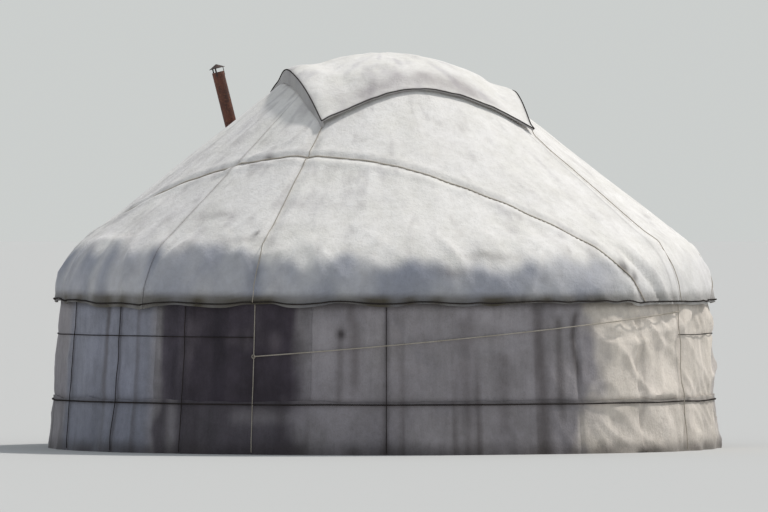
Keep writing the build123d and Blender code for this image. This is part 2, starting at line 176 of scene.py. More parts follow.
def place(a, r, z):
    """Points at azimuths, radii and heights"""
    a = np.radians(a)
    return np.stack(np.broadcast_arrays(r * np.sin(a), -r * np.cos(a), z), axis=-1)


def unit(vectors):
    """Vectors brought to a length of 1"""
    return vectors / np.linalg.norm(vectors, axis=-1, keepdims=True)


# Meshes

def add_object(name, data):
    """A new object in the scene"""
    obj = bpy.data.objects.new(name, data)
    bpy.context.scene.collection.objects.link(obj)
    return obj


def mesh_object(name, points, faces, material, paint=None, uv=None, crease=50):
    """A mesh object with one material, and a colour for each point if there is one"""
    mesh = bpy.data.meshes.new(name)
    mesh.from_pydata(np.asarray(points).reshape(-1, 3).tolist(), [], faces)
    mesh.materials.append(material)
    mesh.shade_smooth()
    mesh.set_sharp_from_angle(angle=radians(crease))
    if paint is not None:
        rgba = np.ones((len(mesh.vertices), 4), dtype=np.float32)
        rgba[:, :3] = np.asarray(paint).reshape(-1, 3)
        mesh.color_attributes.new("paint", "FLOAT_COLOR", "POINT").data.foreach_set("color", rgba.ravel())
    if uv is not None:
        loops = np.empty(len(mesh.loops), dtype=np.int32)
        mesh.loops.foreach_get("vertex_index", loops)
        at_loops = np.asarray(uv)[loops].astype(np.float32)
        mesh.uv_layers.new(name="along").data.foreach_set("uv", at_loops.ravel())
    return add_object(name, mesh)


def quads(n, m, start=0, flip=False, wrap=False):
    """Faces of a grid of n by m points, closed on itself across the second way if wrap is true"""
    faces = []
    for i in range(n - 1):
        for j in range(m if wrap else m - 1):
            k = (j + 1) % m
            face = (start + i * m + j, start + (i + 1) * m + j, start + (i + 1) * m + k, start + i * m + k)
            faces.append(face[::-1] if flip else face)
    return faces


def shell(name, outer, inner, material, paint):
    """Closed sheet between an outer and an inner grid of points"""
    n, m = outer.shape[:2]
    count = n * m
    faces = quads(n, m) + quads(n, m, count, flip=True)
    border = [(i, 0) for i in range(n)] + [(n - 1, j) for j in range(1, m)]
    border += [(i, m - 1) for i in range(n - 2, -1, -1)] + [(0, j) for j in range(m - 2, 0, -1)]
    loop = [i * m + j for i, j in border]
    for a, b in zip(loop, loop[1:] + loop[:1]):
        faces.append((b, a, a + count, b + count))
    points = np.concatenate([outer.reshape(-1, 3), inner.reshape(-1, 3)])
    colours = np.concatenate([paint.reshape(-1, 3), paint.reshape(-1, 3)])
    return mesh_object(name, points, faces, material, colours)


def sweep(name, path, out, sections, material, twist=0.0, crease=50):
    """Closed bar along a path; sections gives each station's outline as (across, outwards) points"""
    path = np.asarray(path)
    out = np.asarray(out)
    ahead = unit(np.gradient(path, axis=0))
    side = unit(np.cross(ahead, out))
    up = np.cross(side, ahead)
    gaps = np.linalg.norm(np.diff(path, axis=0), axis=1)
    run = np.concatenate([[0], np.cumsum(gaps)])
    angle = (run * twist)[:, None]
    across = sections[..., 0] * np.cos(angle) - sections[..., 1] * np.sin(angle)
    rise = sections[..., 0] * np.sin(angle) + sections[..., 1] * np.cos(angle)
    points = path[:, None] + side[:, None] * across[..., None] + up[:, None] * rise[..., None]
    n, m = points.shape[:2]
    faces = quads(n, m, wrap=True)
    faces += [tuple(range(m)), tuple(range(n * m - 1, (n - 1) * m - 1, -1))]
    uv = np.stack(np.broadcast_arrays(np.arange(m)[None] / m, run[:, None]), axis=-1).reshape(-1, 2)
    return mesh_object(name, points, faces, material, uv=uv, crease=crease)


def resample(path, step):
    """Points spaced evenly along a path"""
    path = np.asarray(path)
    run = np.concatenate([[0], np.cumsum(np.linalg.norm(np.diff(path, axis=0), axis=1))])
    at = np.linspace(0, run[-1], max(int(run[-1] / step), 4))
    return np.stack([np.interp(at, run, path[:, k]) for k in range(3)], axis=-1)


def rope(name, path, size, material):
    """Three-strand rope along a path"""
    path = resample(path, 0.55 * size)
    out = unit(path * (1, 1, 0)) + (0, 0, 0.3)
    sides, lay = 9, 4.5 * size
    turn = np.arange(sides) / sides * 2 * pi
    radius = size / 2 * (0.84 + 0.16 * np.cos(3 * turn))
    ring = np.stack([radius * np.cos(turn), radius * np.sin(turn)], axis=-1)
    sections = np.broadcast_to(ring, (len(path), sides, 2))
    return sweep(name, path, out, sections, material, twist=2 * pi / lay, crease=180)


def join(name, objects):
    """Several objects as one"""
    with bpy.context.temp_override(active_object=objects[0], selected_editable_objects=objects):
        bpy.ops.object.join()
    objects[0].name = name
    return objects[0]


def keep(piece, slot, *nodes):
    """Put a piece on the body and hide the nodes that it stands for; slot, the name of its finish, is not
    used
    """
    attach(piece, "root")
    if nodes:
        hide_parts(*nodes)
    return piece


# Materials

def graph(name, roughness, specular=0.5):
    """A new material with its shader, and functions to add nodes and links"""
    material = bpy.data.materials.new(name)
    material.use_nodes = True
    tree = material.node_tree
    shader = tree.nodes["Principled BSDF"]
    shader.inputs["Roughness"].default_value = roughness
    shader.inputs["Specular IOR Level"].default_value = specular

    def add(kind, **values):
        node = tree.nodes.new(kind)
        for key, value in values.items():
            if key in node.inputs:
                node.inputs[key].default_value = value
            else:
                setattr(node, key, value)
        return node

    return material, shader, add, tree.links.new


def pattern(add, link, coordinates, scale, stretch=(1, 1, 1), detail=4.0, rough=0.6):
    """Noise of a scale, stretched along the axes"""
    mapping = add("ShaderNodeMapping")
    mapping.inputs["Scale"].default_value = stretch
    link(coordinates, mapping.inputs["Vector"])
    texture = add("ShaderNodeTexNoise", Scale=scale, Detail=detail, Roughness=rough)
    link(mapping.outputs["Vector"], texture.inputs["Vector"])
    return texture.outputs["Fac"]


def ramp(add, link, value, low, high, at=(0.3, 0.7)):
    """Values turned into a range of colours"""
    node = add("ShaderNodeValToRGB")
    node.color_ramp.elements[0].position, node.color_ramp.elements[1].position = at
    node.color_ramp.elements[0].color = (*low, 1)
    node.color_ramp.elements[1].color = (*high, 1)
    link(value, node.inputs["Fac"])
    return node.outputs["Color"]


def blend(add, link, kind, share, first, second):
    """Two colours mixed or multiplied"""
    node = add("ShaderNodeMix", data_type="RGBA", blend_type=kind)
    if isinstance(share, float):
        node.inputs[0].default_value = share
    else:
        link(share, node.inputs[0])
    for socket, value in ((node.inputs[6], first), (node.inputs[7], second)):
        if isinstance(value, tuple):
            socket.default_value = (*value, 1)
        else:
            link(value, socket)
    return node.outputs[2]


def bump(add, link, shader, heights):
    """Bumps of several heights, in metres, one after the other"""
    last = None
    for value, distance in heights:
        node = add("ShaderNodeBump", Strength=1.0, Distance=distance)
        link(value, node.inputs["Height"])
        if last:
            link(last, node.inputs["Normal"])
        last = node.outputs["Normal"]
    link(last, shader.inputs["Normal"])


def roughen(add, link, shader, value, low, high):
    """Roughness that follows a pattern between two values"""
    node = add("ShaderNodeMapRange")
    node.inputs["To Min"].default_value = low
    node.inputs["To Max"].default_value = high
    link(value, node.inputs["Value"])
    link(node.outputs["Result"], shader.inputs["Roughness"])


def felt(name, fleck, soil):
    """Matted wool: painted colour with blotches, flecks of hair and a fibrous surface"""
    material, shader, add, link = graph(name, 0.95, 0.15)
    shader.inputs["Sheen Weight"].default_value = 0.12
    shader.inputs["Sheen Roughness"].default_value = 0.6
    here = add("ShaderNodeTexCoord").outputs["Object"]
    paint = add("ShaderNodeVertexColor", layer_name="paint").outputs["Color"]
    blotch = pattern(add, link, here, 3.0, detail=6.0)
    cloud = pattern(add, link, here, 14.0, detail=5.0, rough=0.7)
    streak = pattern(add, link, here, 7.0, (1, 1, 0.16), detail=6.0, rough=0.7)
    fibre = pattern(add, link, here, 160.0, (1, 1, 0.6), detail=3.0, rough=0.8)
    mat = pattern(add, link, here, 45.0, detail=4.0, rough=0.7)
    low = 1 - soil
    colour = paint
    for share, value, tone, at in (
        (1.0, blotch, (low, low, low * 0.98), (0.35, 0.6)), (0.7, streak, (low, low, low), (0.38, 0.58)),
        (0.6, cloud, (0.86, 0.85, 0.84), (0.35, 0.6)), (fleck, fibre, (0.55, 0.5, 0.45), (0.33, 0.52)),
    ):
        tones = ramp(add, link, value, tone, (1, 1, 1), at)
        colour = blend(add, link, "MULTIPLY", share, colour, tones)
    link(colour, shader.inputs["Base Color"])
    bump(add, link, shader, [(cloud, 0.008), (mat, 0.004), (fibre, 0.0015)])
    return material


def rope_material(name, dark, light):
    """Twisted hair rope: strands that change tone along and across"""
    material, shader, add, link = graph(name, 0.9, 0.2)
    here = add("ShaderNodeTexCoord").outputs["Object"]
    hair = pattern(add, link, here, 120.0, detail=4.0, rough=0.8)
    patch = pattern(add, link, here, 6.0, detail=3.0)
    strands = ramp(add, link, hair, dark, light)
    lengths = ramp(add, link, patch, dark, light)
    colour = blend(add, link, "MIX", 0.5, strands, lengths)
    link(colour, shader.inputs["Base Color"])
    bump(add, link, shader, [(hair, 0.002)])
    return material


def wood(name, dark, light, worn, grain_uv):
    """Stained wood with grain along each bar and pale worn places"""
    material, shader, add, link = graph(name, 0.62)
    coordinates = add("ShaderNodeTexCoord")
    here = coordinates.outputs["Object"]
    grain_at, stretch = (coordinates.outputs["UV"], (9, 0.5, 1)) if grain_uv else (here, (9, 9, 0.8))
    grain = pattern(add, link, grain_at, 4.0, stretch, detail=8.0, rough=0.65)
    fine = pattern(add, link, grain_at, 16.0, stretch, detail=4.0, rough=0.7)
    wear = pattern(add, link, here, 5.0, detail=8.0, rough=0.75)
    bands = ramp(add, link, grain, dark, light, (0.35, 0.65))
    lines = ramp(add, link, fine, dark, light, (0.3, 0.7))
    colour = blend(add, link, "MIX", 0.6, bands, lines)
    shares = ramp(add, link, wear, (0, 0, 0), (1, 1, 1), (0.56, 0.72))
    colour = blend(add, link, "MIX", shares, colour, worn)
    link(colour, shader.inputs["Base Color"])
    roughen(add, link, shader, grain, 0.5, 0.85)
    bump(add, link, shader, [(grain, 0.0012), (fine, 0.0006)])
    return material


def rusted(name, dark, red, pale):
    """Sheet steel with layers of rust and soot"""
    material, shader, add, link = graph(name, 0.8)
    here = add("ShaderNodeTexCoord").outputs["Object"]
    coarse = pattern(add, link, here, 9.0, detail=8.0, rough=0.7)
    fine = pattern(add, link, here, 60.0, detail=6.0, rough=0.75)
    streak = pattern(add, link, here, 16.0, (1, 1, 0.12), detail=5.0)
    flakes = ramp(add, link, coarse, dark, red, (0.4, 0.62))
    runs = ramp(add, link, streak, dark, red, (0.38, 0.6))
    colour = blend(add, link, "MIX", 0.5, flakes, runs)
    spots = ramp(add, link, fine, (0, 0, 0), (0.7, 0.7, 0.7), (0.52, 0.66))
    colour = blend(add, link, "MIX", spots, colour, pale)
    link(colour, shader.inputs["Base Color"])
    roughen(add, link, shader, fine, 0.55, 0.95)
    bump(add, link, shader, [(coarse, 0.002), (fine, 0.001)])
    return material


ROOF_FELT = felt("felt_roof", 0.15, 0.07)
CROWN_FELT = felt("felt_crown", 0.15, 0.06)
WALL_FELT = felt("felt_wall", 0.35, 0.2)
SKIRT_FELT = felt("felt_skirt", 0.35, 0.22)
DARK_FELT = felt("felt_dark", 0.35, 0.3)
DARK_ROPE = rope_material("rope_dark", (0.012, 0.01, 0.01), (0.05, 0.04, 0.035))
PALE_ROPE = rope_material("rope_pale", (0.3, 0.26, 0.2), (0.62, 0.57, 0.5))
LATTICE_WOOD = wood("wood_lattice", (0.1, 0.045, 0.02), (0.28, 0.14, 0.06), (0.36, 0.22, 0.12), True)
RED_STAIN = ((0.1, 0.02, 0.012), (0.24, 0.05, 0.025), (0.34, 0.17, 0.09))
POLE_WOOD = wood("wood_poles", *RED_STAIN, True)
CROWN_WOOD = wood("wood_crown", *RED_STAIN, False)
DOOR_WOOD = wood("wood_door", (0.08, 0.03, 0.014), (0.22, 0.1, 0.05), (0.34, 0.22, 0.13), False)
PIPE_STEEL = rusted("pipe_steel", (0.035, 0.018, 0.014), (0.16, 0.055, 0.032), (0.3, 0.13, 0.07))
CAP_STEEL = rusted("pipe_cap_steel", (0.02, 0.018, 0.02), (0.06, 0.035, 0.03), (0.16, 0.08, 0.05))


# Shape of the roof and of the wall

def roof_point(t):
    """Radius, height and outward direction at a distance down the roof's outer face"""
    turn = np.clip(TURN - (t - SLOPE_LENGTH) / SHOULDER, LEAN, TURN)
    above = np.clip(SLOPE_LENGTH - t, 0, None)
    below = np.clip(t - SLOPE_LENGTH - SHOULDER_LENGTH, 0, None)
    r = CENTRE_R + SHOULDER * np.cos(turn) - above * cos(SLOPE) + below * sin(LEAN)
    z = CENTRE_Z + SHOULDER * np.sin(turn) + above * sin(SLOPE) - below * cos(LEAN)
    return r, z, np.cos(turn), np.sin(turn)


ROOF_ROPE_TOP = roof_point(np.float64(ROOF_ROPE_DOWN))[1]


def rope_plane(a, r, z, azimuth):
    """How far points are outside the slanting plane that a roof rope lies in"""
    ahead = r * np.cos(np.radians(near(a, azimuth)))
    return ahead - ROOF_ROPE_R - (z - ROOF_ROPE_TOP) * tan(ROOF_ROPE_LEAN)


def ridges(a, z, lean, around, seed):
    """Sharp slanting creases, from 0 to 1"""
    return (1 - np.abs(noise(a + lean * z, z - a * 0.004, around, 2.2, seed))) ** 3


# Single creases as azimuth, lean, depth and where they begin down the roof
ROOF_CREASES = (
    (334, 9, 0.02, 2.15), (343.5, -12, 0.026, 2.2), (347.5, 8, 0.016, 2.3), (306, 7, 0.018, 2.2),
    (318, -9, 0.02, 2.25), (13, 8, 0.014, 2.25), (29, -9, 0.018, 2.3), (50.5, 14, -0.03, 2.3),
    (53.5, 12, 0.02, 2.25),
)


def roof_swell(a, t):
    """How far the roof felt stands out from its plain shape: sags, puckered hem, grooves under ropes"""
    r, z, _, _ = roof_point(t)
    shoulder = smooth(t, SLOPE_LENGTH - 0.3, SLOPE_LENGTH + 0.12)
    hem = smooth(t, SLOPE_LENGTH, ROOF_LENGTH - 0.12)
    swell = 0.01 * noise(a, t, 22, 1.1, 1) + 0.005 * noise(a, t, 64, 2.6, 2)
    swell += 0.004 * np.cos(np.radians((a - 180 - DOOR_LATTICE) * 360 / PITCH + 180)) * smooth(t, 0.6, 2.2)
    swell += 0.005 * ridges(a, t, 12, 34, 9) * smooth(t, 0.3, 0.9)
    swell *= 1 - 0.75 * hem
    pleat = 0.5 + 0.5 * noise(a, t * 0.5, 96, 1, 3)
    fine = 0.5 + 0.5 * noise(a + 3 * t, t * 0.5, 210, 1, 4)
    swell += hem * (0.042 * pleat**2 + 0.012 * fine + 0.002)
    swell += shoulder * (0.02 * ridges(a, t, 9, 46, 7) + 0.014 * ridges(a, t, -12, 76, 8) - 0.008)
    for azimuth in ROOF_ROPE_AZIMUTHS:
        gap = rope_plane(a, r, z, azimuth)
        swell -= 0.017 * bell(gap, 0.034) * (1 - 0.4 * hem)
        swell += 0.011 * bell(gap - 0.1, 0.05) + 0.007 * bell(gap + 0.09, 0.04)
    for azimuth, reach in CORNERS:
        gap = r * np.radians(near(a, azimuth))
        pull = 0.005 * bell(np.abs(gap) - 0.09, 0.04) - 0.009 * bell(gap, 0.05)
        swell += pull * smooth(r, reach, reach + 0.2)
    for azimuth, lean, depth, top in ROOF_CREASES:
        swell += depth * bell(near(a, azimuth + lean * (t - 2.5)), 0.75) * smooth(t, top, top + 0.25)
    fold = near(a, 312) * 0.045 * r / 2.4 + (t - 1.35)
    return swell + 0.016 * bell(fold, 0.03) * bell(near(a, 318), 9)


def hem_drop(a):
    """How far the roof's hem hangs below its plain height"""
    flat = np.zeros_like(a)
    drop = 0.02 + 0.02 * noise(a, flat, 48, 1, 5) + 0.011 * noise(a, flat, 130, 1, 6)
    return drop + 0.045 * smooth(near(a, 296), -3, 5) * (1 - smooth(near(a, 312), -3, 6))


def wall_radius(z):
    """Radius of the plain flared wall felt's outer face"""
    return WALL_R + FLARE * np.clip((HEM_Z - z) / HEM_Z, 0, None)


def creased_sunlit_side(a):
    """1 on the strongly creased felts to the right of the front, where the sun falls; they are painted paler
    there, partly their own paler felt and partly painted sunlight; 0 elsewhere
    """
    return smooth(near(a, 40), -5, 1) * (1 - smooth(near(a, 88), -6, 8))


# Upright grooves as azimuth and depth, most of them under ropes
WALL_GROOVES = ((0.4, 0.012), (307, 0.012), (323.1, 0.01), (289, 0.012), (35.6, 0.02), (50, 0.018))
FLAP_TOP = 1.27


def wall_swell(a, z):
    """How far the wall felt stands out from its plain shape: sags, folds and the pull of ropes"""
    swell = 0.015 * noise(a, z, 30, 1.1, 11) + 0.007 * noise(a, z, 110, 2.4, 12)
    swell += 0.006 * noise(a, z * 0.25, 170, 1, 13) + 0.003 * noise(a + 8 * z, z, 190, 5, 19)
    side = creased_sunlit_side(a)
    swell += (1 - side) * (0.011 * ridges(a, z, -9, 40, 16) + 0.008 * ridges(a, z, 13, 80, 17) - 0.006)
    swell += side * (0.05 * ridges(a, z, -14, 44, 14) + 0.026 * ridges(a, z, 18, 90, 15) - 0.02)
    swell += 0.012 * bell(z - 0.62, 0.13) * (0.6 + 0.4 * noise(a, z * 0, 60, 1, 18))
    reach = np.clip((FLAP_TOP - z) * 13.9, 0, 7.2)
    across = near(a, 0.8)
    flap = smooth(across, 0, 0.5) * (1 - smooth(across, reach - 0.5, reach + 0.2)) * smooth(z, 0.7, 0.8)
    swell += 0.02 * flap * (z < FLAP_TOP)
    for azimuth, depth in WALL_GROOVES:
        swell -= depth * bell(near(a, azimuth), 0.45)
    swell *= 1 - 0.8 * bell(z - LOWER_ROPE_Z, 0.045)
    swell *= 1 - 0.4 * bell(z - UPPER_ROPE_Z, 0.03)
    return swell * tied_down(a) * (1 - smooth(z, 1.16, 1.34)) + 0.002


def tied_down(a):
    """How freely the felt stands out beside the crown's corner ropes: little at them, fully further off"""
    free = 1.0
    for azimuth, _ in CORNERS:
        free = free * (1 - 0.75 * bell(near(a, azimuth), 1.7))
    return free


def skirt_swell(a, z):
    """How far the skirt felt stands out beyond the wall felt: it flares and ruffles to the ground"""
    low = 1 - smooth(z, 0.02, 0.4)
    ruffle = 0.5 + 0.5 * noise(a, z * 0.4, 74, 1, 21)
    fine = 0.5 + 0.5 * noise(a + 4 * z, z * 0.4, 180, 1, 22)
    stand = low * (0.026 * ruffle + 0.009 * fine) + 0.014 * creased_sunlit_side(a) * low * ridges(a, z, 10, 60, 23)
    puff = bell(z - 0.27, 0.13) * (0.3 + 0.7 * creased_sunlit_side(a)) * (0.5 + 0.5 * noise(a, z * 0, 52, 1, 24))
    return (stand + 0.022 * puff) * tied_down(a) * (1 - 0.9 * bell(z - LOWER_ROPE_Z, 0.04)) + 0.001


def skirt_top(a):
    """Height of the skirt felt's upper edge, scalloped between the places where the rope holds it"""
    flat = np.zeros_like(a)
    return SKIRT_TOP + 0.016 * noise(a, flat, 58, 1, 25) + 0.008 * noise(a, flat, 150, 1, 26)


# Colours painted on the felts

# Dark spots of the roof as azimuth, place down the roof, width in degrees, height and share
ROOF_SPOTS = (
    (334.3, 2.2, 0.5, 0.04, 0.85), (324.5, 1.13, 1.7, 0.025, 0.75), (320.5, 1.24, 3.0, 0.02, 0.5),
    (330, 1.2, 3, 0.02, 0.3), (47.5, 2.62, 0.9, 0.06, 0.75), (49.6, 2.72, 0.8, 0.06, 0.75),
    (323, 1.95, 4, 0.05, 0.35), (20, 2.5, 5, 0.05, 0.35), (12, 2.66, 3, 0.05, 0.4),
    (333, 2.3, 6, 0.06, 0.3), (210, 1.5, 4, 0.08, 0.4), (130, 2.0, 5, 0.1, 0.35), (95, 1.2, 3, 0.05, 0.35),
)
# Stains of the wall as azimuth, width in degrees, upper end, lower end and share
WALL_STAINS = (
    (354.5, 1.1, 1.33, 0.4, 0.5), (352.0, 0.6, 1.1, 0.3, 0.4), (27.5, 0.9, 1.33, 0.5, 0.5),
    (31.8, 0.8, 1.2, 0.2, 0.55), (35.2, 0.7, 1.25, 0.5, 0.75), (14, 1.5, 1.2, 0.1, 0.3),
    (21, 1.2, 0.9, 0.0, 0.35), (51, 0.6, 1.2, 0.2, 0.3), (303, 0.8, 1.33, 0.3, 0.4),
    (212, 1.5, 1.3, 0.2, 0.4), (252, 1.2, 1.3, 0.1, 0.4), (118, 1.4, 1.3, 0.3, 0.4), (146, 1, 1.2, 0.1, 0.4),
)


def streaks(a, z, seed):
    """Run-down dirt, from 0 to 1"""
    wide = noise(a, z * 0.35, 120, 1, seed)
    thin = noise(a, z * 0.5, 330, 1, seed + 1)
    return smooth(0.65 * wide + 0.45 * thin, 0.1, 0.8)


def roof_paint(a, t):
    """Off-white roof felt with grime, greyer at the left, with painted shade in a blue-grey band along the
    shoulder and under the ropes, and a dark hem that is dirt and painted shade
    """
    r, z, _, _ = roof_point(t)
    colour = linear(250, 247, 243)
    cloud = 0.5 + 0.5 * noise(a, t, 40, 1.6, 31)
    left = bell(near(a, 300), 38)
    grime = smooth(noise(a, t, 150, 4.5, 32) + 0.6 * noise(a, t, 330, 11, 33) + 0.6 * left, 0.25, 1.6)
    colour = mix(colour, linear(212, 208, 212), np.clip(0.1 * cloud + 0.35 * left * cloud, 0, 1))
    colour = mix(colour, linear(170, 164, 166), 0.34 * grime)
    # Painted shade: a blue-grey band along the shoulder below a wavy edge, mostly left off on the sunlit
    # right side
    edge = t + 0.1 * noise(a, t * 0.3, 54, 1, 38) + 0.05 * noise(a, t * 0.3, 150, 1, 39)
    sunny = smooth(near(a, 45), -9, 7) * (1 - smooth(near(a, 115), -10, 10))
    edge = edge - 0.12 * smooth(near(a, 350), -18, 18) * (1 - smooth(near(a, 120), -10, 30))
    low = smooth(edge, 2.38, 2.56) * (1 - 0.8 * sunny)
    colour = mix(colour, linear(140, 145, 162), low * (0.66 + 0.24 * noise(a, t, 110, 2, 34)))
    # Dark band along the hem: dirt and painted shade under the hem's edge, weaker on the sunlit side
    dark = smooth(t, ROOF_LENGTH - 0.11, ROOF_LENGTH - 0.03)
    dark = dark * (0.8 + 0.2 * noise(a, t, 160, 1, 35)) * (1 - 0.4 * sunny)
    colour = mix(colour, linear(86, 80, 68), dark)
    for azimuth in ROOF_ROPE_AZIMUTHS:
        gap = rope_plane(a, r, z, azimuth)
        shade = 0.5 * bell(gap, 0.02) * (0.6 + 0.4 * noise(a, t, 60, 2, 36))
        colour = mix(colour, linear(160, 150, 148), shade)
    for azimuth, down, wide, high, share in ROOF_SPOTS:
        spot = bell(near(a, azimuth), wide) * bell(t - down - 0.02 * noise(a, t, 120, 6, 37), high)
        colour = mix(colour, linear(92, 84, 84), share * spot)
    for seam in ROOF_SEAMS:
        colour = mix(colour, linear(150, 146, 146), 0.3 * bell(near(a, seam), 0.35))
    return colour


def wall_paint(a, z):
    """Grey wall felt, paler on the creased side to the right of the front, partly as painted sunlight, with
    stains that run down, painted shade along the upright ropes and under the hem, dirt and painted shade
    along the lower rope, and darker towards the ground
    """
    colour = linear(172, 167, 170)
    cloud = 0.5 + 0.5 * noise(a, z, 50, 2.0, 41)
    colour = mix(colour, linear(136, 132, 140), 0.6 * cloud)
    cooler = 0.7 * smooth(near(a, 288), -4, 2) * (1 - smooth(near(a, 316), -2, 2))
    colour = mix(colour, linear(152, 157, 175), cooler)
    # Paler to the right of the front: partly the felt's own paler colour, partly painted sunlight
    uneven = 3.5 * noise(a, z, 60, 2.5, 47) + 1.5 * noise(a, z, 170, 7, 48)
    colour = mix(colour, linear(250, 240, 228), creased_sunlit_side(a + uneven) * (0.86 + 0.14 * cloud))
    for azimuth in UPRIGHTS:
        shade = 0.55 * bell(near(a, azimuth), 0.4) * (0.7 + 0.3 * noise(a, z, 40, 3, 46))
        colour = mix(colour, linear(84, 78, 86), shade)
    colour = mix(colour, linear(86, 78, 76), 0.6 * streaks(a, z, 42) * (1 - 0.75 * creased_sunlit_side(a)))
    for azimuth, wide, top, low, share in WALL_STAINS:
        stain = bell(near(a, azimuth) - 0.6 * noise(a, z, 60, 3, 44), wide) * smooth(z, low, low + 0.3)
        colour = mix(colour, linear(78, 70, 68), share * stain * (1 - smooth(z, top - 0.05, top + 0.05)))
    blob = bell(near(a, 352.6), 0.7) * bell(z - 1.06, 0.045)
    colour = mix(colour, linear(48, 40, 42), 0.85 * blob)
    # Darker towards the ground
    darker_near_ground = 0.65 * smooth(z, 0.14, 0.0) * (0.7 + 0.3 * noise(a, z, 140, 3, 45))
    colour = mix(colour, linear(70, 64, 62), darker_near_ground)
    # Dark band along the lower rope: dirt and painted shade under the rope
    colour = mix(colour, linear(74, 68, 66), 0.45 * bell(z - 0.455, 0.03))
    # Painted shadow of the roof's hem across the top of the wall
    colour = mix(colour, linear(70, 66, 64), 0.6 * smooth(z, 1.25, 1.33))
    return colour


def soot(a, z):
    """1 in the middle of the dark panel, fading unevenly at both sides"""
    wander = 1.4 * noise(a, z, 60, 1.5, 64) + 0.8 * noise(a, z, 200, 5, 65)
    return smooth(near(a, PATCH[0]) + wander, 0.6, 2.4) * smooth(-near(a, PATCH[1]) + wander, 0.6, 3.4)


def skirt_paint(a, z):
    """Skirt felt: as the wall, darker towards the ground, darkest below the dark patch"""
    colour = wall_paint(a, z) * 0.92
    strip = bell(near(a, 321), 1.2) + 0.6 * smooth(near(a, 333), -1, 1) * bell(z - 0.33, 0.07)
    colour = mix(colour, linear(74, 68, 76), soot(a, z) * (0.85 - 0.6 * np.clip(strip, 0, 1)))
    # Darker towards the ground
    darker_near_ground = 0.5 * smooth(z, 0.16, 0.02) * (0.6 + 0.4 * noise(a, z, 100, 4, 52))
    return mix(colour, linear(66, 58, 54), darker_near_ground)


def dark_paint(a, z):
    """Dark brown felt in two tones, with paler smudges, soiled unevenly along its edges"""
    colour = mix(linear(74, 67, 76), linear(98, 92, 102), 0.7 * (1 - smooth(near(a, 323.1), -1, 0.5)))
    smudge = smooth(noise(a, z, 80, 3, 61) + 0.5 * noise(a, z, 190, 6, 62), 0.2, 1.2)
    colour = mix(colour, linear(118, 110, 116), 0.5 * smudge)
    colour = mix(colour, linear(56, 50, 60), 0.5 * streaks(a, z, 63))
    return mix(wall_paint(a, z) * 0.8, colour, soot(a, z))


# Felts

def cells(length, size):
    """Number of grid points along a length"""
    return max(int(length / size), 2) + 1


def roof_cloth(side, start, end, low_z=None):
    """Roof felt between two azimuths, from the crown ring to the hem, or to a height above the doorway"""
    n = cells(radians(end - start) * 2.6, 0.032)
    m = cells(ROOF_LENGTH, 0.03)
    a, s = np.meshgrid(np.linspace(end, start, n), np.linspace(0, 1, m), indexing="ij")
    length = ROOF_LENGTH + hem_drop(a)
    if low_z is not None:
        length = np.full_like(a, ROOF_LENGTH - (low_z - HEM_Z))
    t = s * length
    r, z, out, up = roof_point(t)
    edges = bell(near(a, end), 1.2) - 0.3 * bell(near(a, start), 1.2)
    stand = roof_swell(a, t) + 0.006 * edges * smooth(t, 0.3, 0.8) * (low_z is None)
    outer = place(a, r + out * stand, z + up * stand)
    inside = stand - ROOF_THICK
    inner = place(a, r + out * inside, z + up * inside)
    cloth = shell(f"roof_cloth_{side}", outer, inner, ROOF_FELT, roof_paint(a, t))
    keep(cloth, "felt_roof", f"roof_felt_{side}")


def wall_cloth(name, start, end, low, high, offset, thick, extra, paint, material, slot, node):
    """Felt that hangs round the wall between two azimuths and two heights"""
    n = cells(radians(end - start) * WALL_R, 0.024)
    m = cells(high - low, 0.024)
    a, z = np.meshgrid(np.linspace(end, start, n), np.linspace(high, low, m), indexing="ij")
    if high == SKIRT_TOP:
        z = low + (z - low) * (skirt_top(a) - low) / (high - low)
    out = wall_radius(z) + wall_swell(a, z) + offset
    if extra:
        out = out + extra(a, z)
    cloth = shell(name, place(a, out, z), place(a, out - thick, z), material, paint(a, z))
    keep(cloth, slot, node)


ROOF_BOUNDS = (
    ("left", FELT_SPAN[0], ROOF_SEAMS[2]), ("front", ROOF_SEAMS[2], 360 + ROOF_SEAMS[0]),
    ("right", 360 + ROOF_SEAMS[0], 360 + ROOF_SEAMS[1]), ("back", 360 + ROOF_SEAMS[1], FELT_SPAN[1]),
)
WALL_SIDES = ("back_left", "front_left", "front_right", "back_right")
LINTEL_LOW, LINTEL_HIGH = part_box("door_lintel")
for side, start, end in ROOF_BOUNDS:
    roof_cloth(side, start, end)
roof_cloth("door", 180 - DOOR_FELT, 180 + DOOR_FELT, LINTEL_HIGH[2] + 0.012)

for side, start, end in zip(WALL_SIDES, WALL_SEAMS[:-1], WALL_SEAMS[1:]):
    wall_cloth(f"wall_cloth_{side}", start, end, 0, WALL_TOP - 0.002, 0, WALL_THICK, None,
               wall_paint, WALL_FELT, "felt_wall", f"wall_felt_{side}")
    wall_cloth(f"skirt_cloth_{side}", start, end, 0, SKIRT_TOP, SKIRT_OFFSET, WALL_THICK, skirt_swell,
               skirt_paint, SKIRT_FELT, "felt_skirt", f"skirt_felt_{side}")
wall_cloth("dark_cloth", *PATCH, SKIRT_TOP - 0.03, HEM_Z - 0.001, PATCH_OFFSET, PATCH_THICK, None,
           dark_paint, DARK_FELT, "felt_dark", "wall_patch")


def slope_height(r):
    """Height of the roof's plain slope at a radius"""
    return CENTRE_Z + SHOULDER * sin(TURN) + (CENTRE_R + SHOULDER * cos(TURN) - r) * tan(SLOPE)


def crown_surface(x, y):
    """Height and steepness of the plain face that the crown felt lies on"""
    r = np.hypot(x, y)
    base, edge = slope_height(r), slope_height(LAP_R)
    rise = CROWN_TOP - CROWN_THICK - edge - 0.006
    radius = (LAP_R**2 + rise**2) / (2 * rise)
    dome = edge + rise - radius + np.sqrt(np.clip(radius**2 - r**2, 0.01, None))
    share = smooth(r, LAP_R - 0.12, LAP_R + 0.1)
    height = dome * (1 - share) + base * share
    slant = np.arcsin(np.clip(r / radius, 0, 0.99)) * (1 - share) + SLOPE * share
    return height, slant


